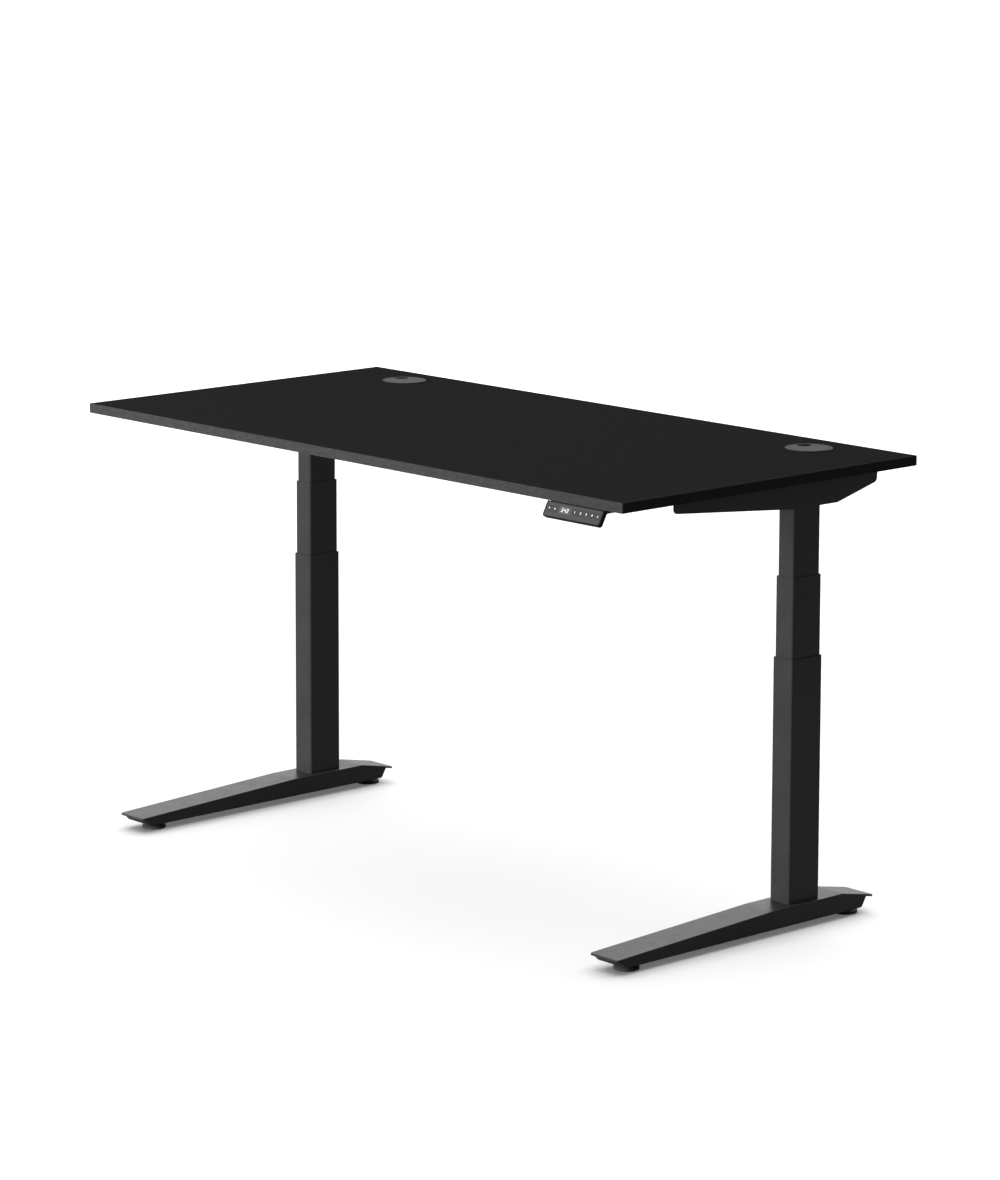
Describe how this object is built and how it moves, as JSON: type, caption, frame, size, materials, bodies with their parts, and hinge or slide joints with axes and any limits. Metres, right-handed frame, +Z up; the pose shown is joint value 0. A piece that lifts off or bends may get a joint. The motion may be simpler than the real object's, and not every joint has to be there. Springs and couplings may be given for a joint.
{
  "type": "height adjustable standing desk",
  "caption": "Electric sit-stand desk: black rectangular top on two telescoping rectangular columns with flat tapered feet, key handset under the front edge and cable grommets at the rear.",
  "frame": {"origin": "on the floor, at the middle of the whole object's outline", "axes": "+X along the width to the right as seen from the front, +Y from the front edge to the rear, +Z up"},
  "size_m": [1.524, 0.7758, 0.8715],
  "materials": {
    "powder_coat": "fine matt powder coat, black",
    "zinc_steel": "zinc plated",
    "pipe_steel": "oiled steel",
    "brass": "machined",
    "case_metal": "die cast",
    "motor_steel": "satin black",
    "guide_plastic": "acetal",
    "gear_plastic": "natural nylon",
    "particle_board": "pressed chips",
    "black_laminate": "fine leather-like grain, matt",
    "edge_band": "matt",
    "grommet_plastic": "moulded, satin",
    "box_plastic": "moulded, textured",
    "handset_plastic": "moulded",
    "handset_panel": "fine spark texture",
    "display_window": "smoked window",
    "button_plastic": "satin",
    "pad_rubber": "matt"
  },
  "bodies": {
    "left_base": {"left_foot_beam": "powder_coat", "left_foot_plate": "powder_coat", "left_foot_bolts": "zinc_steel", "left_outer_tube": "powder_coat", "left_outer_bush": "guide_plastic", "left_stand_pipe": "pipe_steel", "left_lower_nut": "brass"},
    "left_front_foot": {"left_front_glide": "pad_rubber"},
    "left_rear_foot": {"left_rear_glide": "pad_rubber"},
    "left_middle": {"left_middle_tube": "powder_coat", "left_middle_bush": "guide_plastic", "left_middle_pipe": "pipe_steel"},
    "left_lower_screw": {"left_lower_spindle": "pipe_steel"},
    "left_upper_screw": {"left_upper_spindle": "pipe_steel", "left_worm_wheel": "gear_plastic"},
    "right_base": {"right_foot_beam": "powder_coat", "right_foot_plate": "powder_coat", "right_foot_bolts": "zinc_steel", "right_outer_tube": "powder_coat", "right_outer_bush": "guide_plastic", "right_stand_pipe": "pipe_steel", "right_lower_nut": "brass"},
    "right_front_foot": {"right_front_glide": "pad_rubber"},
    "right_rear_foot": {"right_rear_glide": "pad_rubber"},
    "right_middle": {"right_middle_tube": "powder_coat", "right_middle_bush": "guide_plastic", "right_middle_pipe": "pipe_steel"},
    "right_lower_screw": {"right_lower_spindle": "pipe_steel"},
    "right_upper_screw": {"right_upper_spindle": "pipe_steel", "right_worm_wheel": "gear_plastic"},
    "top": {"desktop_core": "particle_board", "laminates": "black_laminate", "edge_band": "edge_band", "crossbar_rails": "powder_coat", "wood_screws": "zinc_steel", "control_box": "box_plastic", "grommet_sleeves": "grommet_plastic", "handset_body": "handset_plastic", "handset_face": "handset_panel", "handset_display": "display_window", "left_inner_tube": "powder_coat", "left_gearbox_case": "case_metal", "left_motor": "motor_steel", "left_frame_end": "powder_coat", "left_side_bracket": "powder_coat", "right_inner_tube": "powder_coat", "right_gearbox_case": "case_metal", "right_motor": "motor_steel", "right_frame_end": "powder_coat", "right_side_bracket": "powder_coat"},
    "left_cap": {"left_grommet_cap": "grommet_plastic"},
    "right_cap": {"right_grommet_cap": "grommet_plastic"},
    "down_key": {"button_down": "button_plastic"},
    "up_key": {"button_up": "button_plastic"},
    "preset_1_key": {"button_preset_1": "button_plastic"},
    "preset_2_key": {"button_preset_2": "button_plastic"},
    "preset_3_key": {"button_preset_3": "button_plastic"},
    "preset_4_key": {"button_preset_4": "button_plastic"},
    "memory_key": {"button_memory": "button_plastic"}
  },
  "joints": [
    {"name": "left_lower_lift", "type": "slide", "parent": "left_base", "child": "left_middle", "axis": [0, 0, 1], "range_m": [-0.124, 0.2]},
    {"name": "left_upper_lift", "type": "slide", "parent": "left_middle", "child": "top", "axis": [0, 0, 1], "range_m": [-0.124, 0.2]},
    {"name": "right_upper_lift", "type": "slide", "parent": "top", "child": "right_middle", "axis": [0, 0, -1], "range_m": [-0.124, 0.2]},
    {"name": "right_lower_lift", "type": "slide", "parent": "right_middle", "child": "right_base", "axis": [0, 0, -1], "range_m": [-0.124, 0.2]},
    {"name": "left_upper_screw_spin", "type": "hinge", "parent": "top", "child": "left_upper_screw", "pos_m": [-0.685, 0.15487, 0.8], "axis": [0, 0, 1], "continuous": true},
    {"name": "left_lower_screw_spin", "type": "hinge", "parent": "left_middle", "child": "left_lower_screw", "pos_m": [-0.685, 0.15487, 0.55], "axis": [0, 0, 1], "continuous": true},
    {"name": "left_front_foot_level", "type": "slide", "parent": "left_base", "child": "left_front_foot", "axis": [0, 0, -1], "range_m": [-0.002, 0.008]},
    {"name": "left_rear_foot_level", "type": "slide", "parent": "left_base", "child": "left_rear_foot", "axis": [0, 0, -1], "range_m": [-0.002, 0.008]},
    {"name": "left_cap_turn", "type": "hinge", "parent": "top", "child": "left_cap", "pos_m": [-0.572, 0.29787, 0.87], "axis": [0, 0, 1], "continuous": true},
    {"name": "right_upper_screw_spin", "type": "hinge", "parent": "top", "child": "right_upper_screw", "pos_m": [0.685, 0.15487, 0.8], "axis": [0, 0, 1], "continuous": true},
    {"name": "right_lower_screw_spin", "type": "hinge", "parent": "right_middle", "child": "right_lower_screw", "pos_m": [0.685, 0.15487, 0.55], "axis": [0, 0, 1], "continuous": true},
    {"name": "right_front_foot_level", "type": "slide", "parent": "right_base", "child": "right_front_foot", "axis": [0, 0, -1], "range_m": [-0.002, 0.008]},
    {"name": "right_rear_foot_level", "type": "slide", "parent": "right_base", "child": "right_rear_foot", "axis": [0, 0, -1], "range_m": [-0.002, 0.008]},
    {"name": "right_cap_turn", "type": "hinge", "parent": "top", "child": "right_cap", "pos_m": [0.572, 0.29787, 0.87], "axis": [0, 0, 1], "continuous": true},
    {"name": "down_press", "type": "slide", "parent": "top", "child": "down_key", "axis": [0, 0.8829, -0.4695], "range_m": [0, 0.0005], "stiffness_N_per_m": 2500, "springref_m": -0.0002},
    {"name": "up_press", "type": "slide", "parent": "top", "child": "up_key", "axis": [0, 0.8829, -0.4695], "range_m": [0, 0.0005], "stiffness_N_per_m": 2500, "springref_m": -0.0002},
    {"name": "preset_1_press", "type": "slide", "parent": "top", "child": "preset_1_key", "axis": [0, 0.8829, -0.4695], "range_m": [0, 0.0005], "stiffness_N_per_m": 2500, "springref_m": -0.0002},
    {"name": "preset_2_press", "type": "slide", "parent": "top", "child": "preset_2_key", "axis": [0, 0.8829, -0.4695], "range_m": [0, 0.0005], "stiffness_N_per_m": 2500, "springref_m": -0.0002},
    {"name": "preset_3_press", "type": "slide", "parent": "top", "child": "preset_3_key", "axis": [0, 0.8829, -0.4695], "range_m": [0, 0.0005], "stiffness_N_per_m": 2500, "springref_m": -0.0002},
    {"name": "preset_4_press", "type": "slide", "parent": "top", "child": "preset_4_key", "axis": [0, 0.8829, -0.4695], "range_m": [0, 0.0005], "stiffness_N_per_m": 2500, "springref_m": -0.0002},
    {"name": "memory_press", "type": "slide", "parent": "top", "child": "memory_key", "axis": [0, 0.8829, -0.4695], "range_m": [0, 0.0005], "stiffness_N_per_m": 2500, "springref_m": -0.0002}
  ],
  "couplings": [
    {"joint": "left_lower_lift", "follows": "left_upper_lift", "ratio": 1},
    {"joint": "right_upper_lift", "follows": "left_upper_lift", "ratio": 1},
    {"joint": "right_lower_lift", "follows": "left_upper_lift", "ratio": 1},
    {"joint": "left_upper_screw_spin", "follows": "left_upper_lift", "rad_per_m": 523.6},
    {"joint": "left_lower_screw_spin", "follows": "left_upper_lift", "rad_per_m": 523.6},
    {"joint": "right_upper_screw_spin", "follows": "left_upper_lift", "rad_per_m": 523.6},
    {"joint": "right_lower_screw_spin", "follows": "left_upper_lift", "rad_per_m": 523.6}
  ]
}
